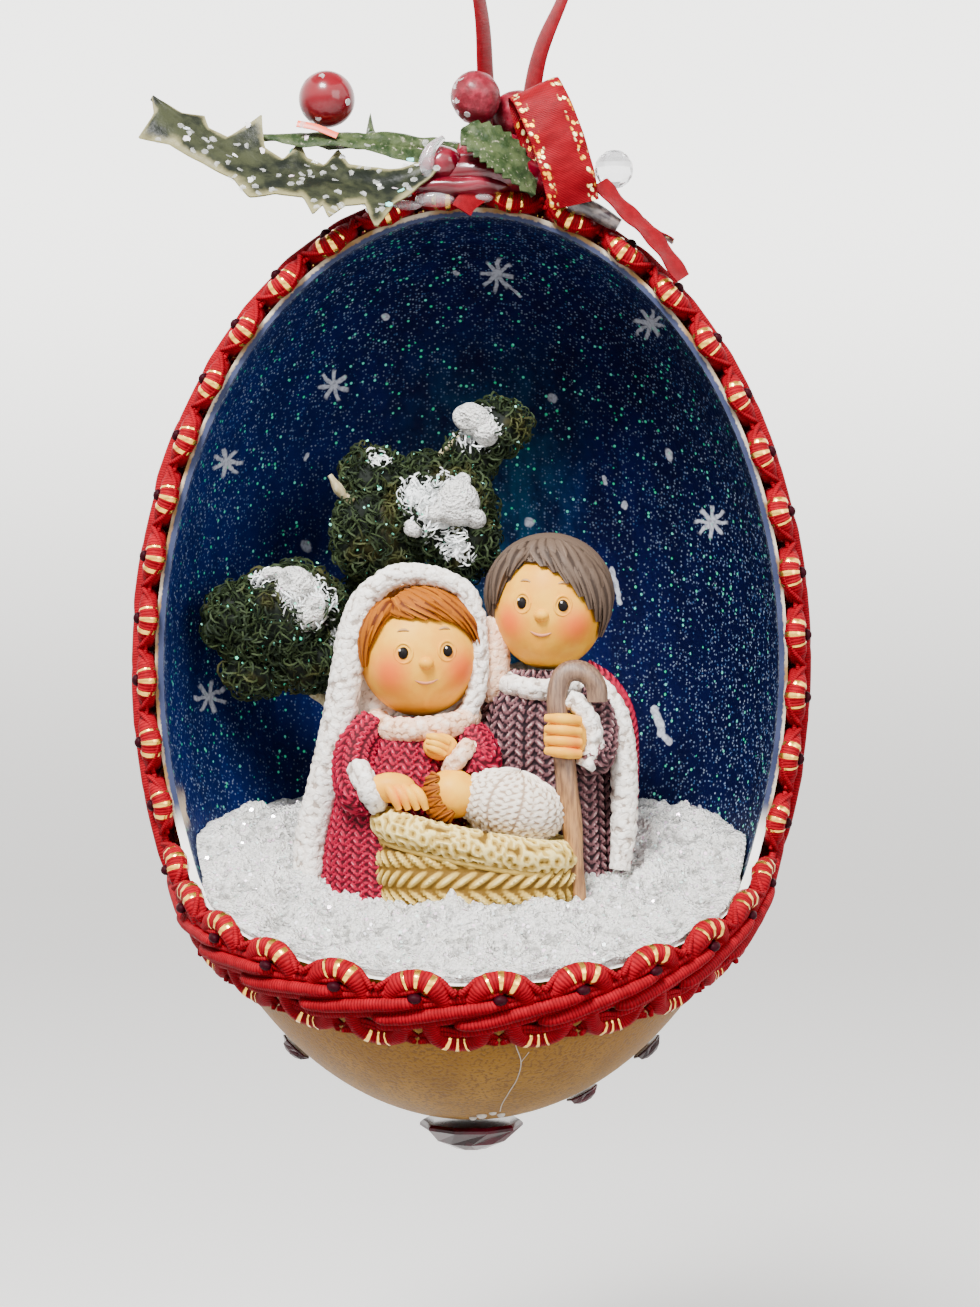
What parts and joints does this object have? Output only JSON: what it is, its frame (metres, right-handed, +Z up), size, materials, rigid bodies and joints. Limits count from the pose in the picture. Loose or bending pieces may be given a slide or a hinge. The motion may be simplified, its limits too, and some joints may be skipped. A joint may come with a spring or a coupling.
{
  "type": "nativity ornament",
  "caption": "Hanging ornament made of a goose egg cut open at the front, holding a cast nativity group in snow, with braid trim, a holly sprig and a ribbon loop.",
  "frame": {"origin": "inside top of the hanging ribbon's loop, where the ornament is held up", "axes": "+Z up, the open front faces -Y, +X to the right seen from the front"},
  "size_m": [0.0642, 0.0542, 0.1412],
  "materials": {
    "shell": "eggshell with gold pearl paint outside and glittered navy paint inside",
    "braid": "red silk gimp braid with gold foil stripes",
    "snow": "rough white paste with iridescent glitter",
    "resin": "cast resin, hand painted, matt",
    "twig": "bare twig",
    "foliage": "coarse dark green foam",
    "leaf": "moulded plastic leaf with glitter",
    "berry": "lacquered berry with glitter",
    "bead": "clear faceted bead",
    "glue": "cloudy hot glue, stained by the red braid",
    "ribbon": "red satin ribbon",
    "gem": "dark red foil-backed cut stone"
  },
  "bodies": {
    "root": {"eggshell": "shell", "braid_trim": "braid", "snow_bed": "snow", "figurine": "resin", "tree_branches": "twig", "foliage_upper": "foliage", "foliage_crest": "foliage", "foliage_left": "foliage", "foliage_back": "foliage", "snow_dab_crest": "snow", "snow_dab_upper": "snow", "snow_dab_left": "snow", "holly_leaf": "leaf", "rolled_leaf": "leaf", "dull_leaf": "leaf", "stem_end": "twig", "berry_left": "berry", "berry_middle": "berry", "berry_right": "berry", "clear_bead": "bead", "glue_mound": "glue", "bow_loop": "ribbon", "bow_tail_upper": "ribbon", "bow_tail_lower": "ribbon", "hanging_ribbon": "ribbon", "bottom_gem": "gem", "side_gem_1": "gem", "side_gem_2": "gem", "side_gem_3": "gem", "side_gem_4": "gem", "side_gem_5": "gem", "side_gem_6": "gem", "side_gem_7": "gem", "low_gem_1": "gem", "low_gem_2": "gem", "low_gem_3": "gem"}
  },
  "joints": []
}
